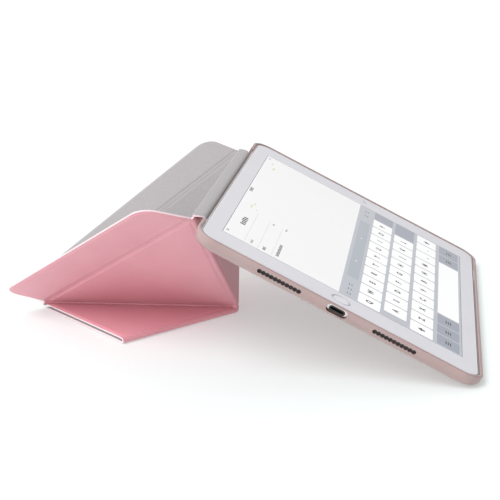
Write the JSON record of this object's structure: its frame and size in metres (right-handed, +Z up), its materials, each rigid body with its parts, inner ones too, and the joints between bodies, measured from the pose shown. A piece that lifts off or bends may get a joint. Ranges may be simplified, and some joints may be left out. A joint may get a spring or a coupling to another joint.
{
  "type": "folding tablet folio case",
  "caption": "Folio case with a hard shell and a soft origami cover, folded into a low typing stand for the tablet it holds.",
  "frame": {"origin": "bottom centre of the bounding box, on the surface that the case stands on", "axes": "+Z up; +X from the folded cover towards the low edge of the tablet; Y along the hinge, +Y towards the end with the cameras"},
  "size_m": [0.2928, 0.244, 0.0926],
  "materials": {
    "rose_shell": "satin, slightly translucent moulded plastic",
    "pink_skin": "pink soft-touch synthetic leather",
    "felt_lining": "grey microfibre lining",
    "stiffener_card": "stiffener board",
    "magnet_steel": "plated magnet",
    "housing_metal": "blasted metal housing",
    "front_glass": "white-framed cover glass over the display",
    "display_stack": "display stack",
    "battery_foil": "battery pouch",
    "circuit_board": "circuit board",
    "bright_ring": "polished ring",
    "dark_lens": "dark camera lens",
    "grille_mesh": "fine speaker mesh",
    "dark_socket": "moulded socket liner",
    "key_metal": "metal key",
    "home_key_face": "white key face"
  },
  "bodies": {
    "case_shell": {"rear_shell": "rose_shell", "tablet_housing": "housing_metal", "front_glass": "front_glass", "front_camera_lens": "dark_lens", "home_key_ring": "bright_ring", "speaker_grille_near_hinge": "grille_mesh", "speaker_grille_near_front": "grille_mesh", "speaker_grille_far_hinge": "grille_mesh", "speaker_grille_far_front": "grille_mesh", "charging_socket": "dark_socket", "headphone_jack": "dark_socket", "rear_camera_ring": "bright_ring", "rear_camera_lens": "dark_lens", "display_panel": "display_stack", "battery_pack": "battery_foil", "logic_board": "circuit_board"},
    "spine_band": {"spine_band_skin": "pink_skin", "spine_band_lining": "felt_lining"},
    "front_panel": {"front_panel_skin": "pink_skin", "front_panel_board": "stiffener_card", "front_panel_lining": "felt_lining"},
    "near_wall": {"near_wall_skin": "pink_skin", "near_wall_board": "stiffener_card", "near_wall_lining": "felt_lining"},
    "near_flap": {"near_flap_skin": "pink_skin", "near_flap_board": "stiffener_card", "near_flap_lining": "felt_lining", "near_flap_magnet": "magnet_steel"},
    "far_flap": {"far_flap_skin": "pink_skin", "far_flap_board": "stiffener_card", "far_flap_lining": "felt_lining", "far_flap_magnet": "magnet_steel"},
    "far_wall": {"far_wall_skin": "pink_skin", "far_wall_board": "stiffener_card", "far_wall_lining": "felt_lining"},
    "near_strip": {"near_strip_skin": "pink_skin", "near_strip_board": "stiffener_card", "near_strip_lining": "felt_lining"},
    "far_strip": {"far_strip_skin": "pink_skin", "far_strip_board": "stiffener_card", "far_strip_lining": "felt_lining"},
    "home_key_slider": {"home_key": "home_key_face"},
    "power_key_slider": {"power_key": "key_metal"},
    "volume_up_key_slider": {"volume_up_key": "key_metal"},
    "volume_down_key_slider": {"volume_down_key": "key_metal"}
  },
  "joints": [
    {"name": "spine_hinge", "type": "hinge", "parent": "case_shell", "child": "spine_band", "pos_m": [-0.00848, 0, 0.08191], "axis": [0, 1, 0], "range_deg": [0, 78.49]},
    {"name": "cover_hinge", "type": "hinge", "parent": "spine_band", "child": "front_panel", "pos_m": [-0.01334, 0, 0.08592], "axis": [0, 1, 0], "range_deg": [0, 226.56]},
    {"name": "near_wall_fold", "type": "hinge", "parent": "front_panel", "child": "near_wall", "pos_m": [-0.00446, 0, 0.0059], "axis": [-0.0816, -0.7465, 0.6604], "range_deg": [0, 95.27]},
    {"name": "near_flap_fold", "type": "hinge", "parent": "near_wall", "child": "near_flap", "pos_m": [-0.00446, -0.00133, 0.0044], "axis": [1, 0, 0], "range_deg": [0, 138.5]},
    {"name": "flap_crease_fold", "type": "hinge", "parent": "near_flap", "child": "far_flap", "pos_m": [-0.00446, -0.00133, 0.0022], "axis": [-0.6897, -0.7241, 0], "range_deg": [0, 179.8]},
    {"name": "far_wall_fold", "type": "hinge", "parent": "front_panel", "child": "far_wall", "pos_m": [-0.00446, 0, 0.0059], "axis": [0.0816, -0.7465, -0.6604], "range_deg": [0, 95.27]},
    {"name": "near_strip_fold", "type": "hinge", "parent": "near_wall", "child": "near_strip", "pos_m": [-0.07175, -0.04515, 0.04585], "axis": [-0.6897, 0.5423, -0.4798], "range_deg": [0, 5]},
    {"name": "far_strip_fold", "type": "hinge", "parent": "far_wall", "child": "far_strip", "pos_m": [-0.07175, 0.04648, 0.04435], "axis": [0.6897, 0.5423, 0.4798], "range_deg": [0, 20]},
    {"name": "home_key_press", "type": "slide", "parent": "case_shell", "child": "home_key_slider", "axis": [-0.4695, 0, -0.8829], "range_m": [0, 0.0003], "stiffness_N_per_m": 2000},
    {"name": "power_key_press", "type": "slide", "parent": "case_shell", "child": "power_key_slider", "axis": [0, -1, 0], "range_m": [0, 0.0003], "stiffness_N_per_m": 2000},
    {"name": "volume_up_press", "type": "slide", "parent": "case_shell", "child": "volume_up_key_slider", "axis": [-0.8829, 0, 0.4695], "range_m": [0, 0.0003], "stiffness_N_per_m": 2000},
    {"name": "volume_down_press", "type": "slide", "parent": "case_shell", "child": "volume_down_key_slider", "axis": [-0.8829, 0, 0.4695], "range_m": [0, 0.0003], "stiffness_N_per_m": 2000}
  ],
  "couplings": [
    {"joint": "near_wall_fold", "follows": "cover_hinge", "ratio": 0.42051},
    {"joint": "near_flap_fold", "follows": "cover_hinge", "ratio": 0.61132},
    {"joint": "flap_crease_fold", "follows": "cover_hinge", "ratio": 0.79361},
    {"joint": "far_wall_fold", "follows": "cover_hinge", "ratio": 0.42051},
    {"joint": "near_strip_fold", "follows": "cover_hinge", "ratio": 0.022069},
    {"joint": "far_strip_fold", "follows": "cover_hinge", "ratio": 0.088277}
  ]
}
